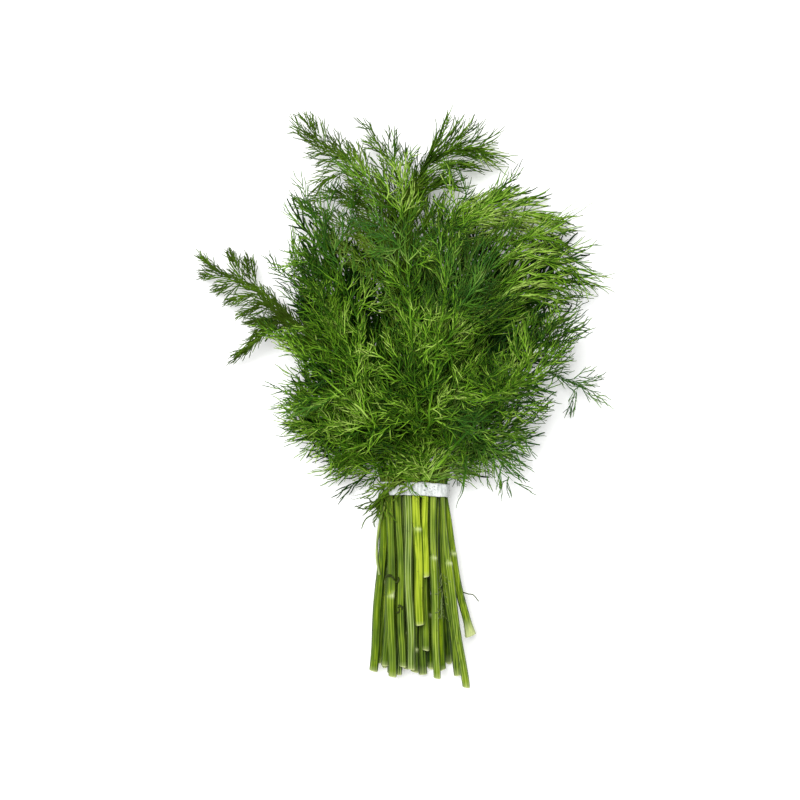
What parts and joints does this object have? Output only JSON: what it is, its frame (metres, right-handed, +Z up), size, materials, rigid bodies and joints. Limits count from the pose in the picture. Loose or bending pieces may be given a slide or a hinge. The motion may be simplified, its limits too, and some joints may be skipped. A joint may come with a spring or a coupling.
{
  "type": "dill bunch",
  "caption": "Bunch of cut dill lying on its side: green stalks held by a flat white band, with feathery fronds fanned out past it in a loose mound.",
  "frame": {"origin": "under the middle of the bunch's footprint, on the surface it lies on", "axes": "+Y from the cut ends towards the tips of the fronds, +Z up from the surface, +X to the right seen from above with the tips away"},
  "size_m": [0.2166, 0.318, 0.0776],
  "materials": {
    "stalk_green": "satin, yellow-green",
    "frond_green": "matt, dark to mid green",
    "band_white": "matt white"
  },
  "bodies": {
    "root": {"tie_band": "band_white", "low_sprig": "frond_green", "stalk_01": "stalk_green", "frond_01": "frond_green", "stalk_02": "stalk_green", "frond_02": "frond_green", "stalk_03": "stalk_green", "frond_03": "frond_green", "stalk_04": "stalk_green", "frond_04": "frond_green", "stalk_05": "stalk_green", "frond_05": "frond_green", "stalk_06": "stalk_green", "frond_06": "frond_green", "stalk_07": "stalk_green", "frond_07": "frond_green", "stalk_08": "stalk_green", "frond_08": "frond_green", "stalk_09": "stalk_green", "frond_09": "frond_green", "stalk_10": "stalk_green", "frond_10": "frond_green", "stalk_11": "stalk_green", "frond_11": "frond_green", "stalk_12": "stalk_green", "frond_12": "frond_green", "stalk_13": "stalk_green", "frond_13": "frond_green", "stalk_14": "stalk_green", "frond_14": "frond_green", "stalk_15": "stalk_green", "frond_15": "frond_green", "stalk_16": "stalk_green", "frond_16": "frond_green", "stalk_17": "stalk_green", "frond_17": "frond_green", "stalk_18": "stalk_green", "frond_18": "frond_green", "stalk_19": "stalk_green", "frond_19": "frond_green", "stalk_20": "stalk_green", "frond_20": "frond_green", "stalk_21": "stalk_green", "frond_21": "frond_green", "stalk_22": "stalk_green", "frond_22": "frond_green", "stalk_23": "stalk_green", "frond_23": "frond_green", "stalk_24": "stalk_green", "frond_24": "frond_green", "stalk_25": "stalk_green", "frond_25": "frond_green"}
  },
  "joints": []
}
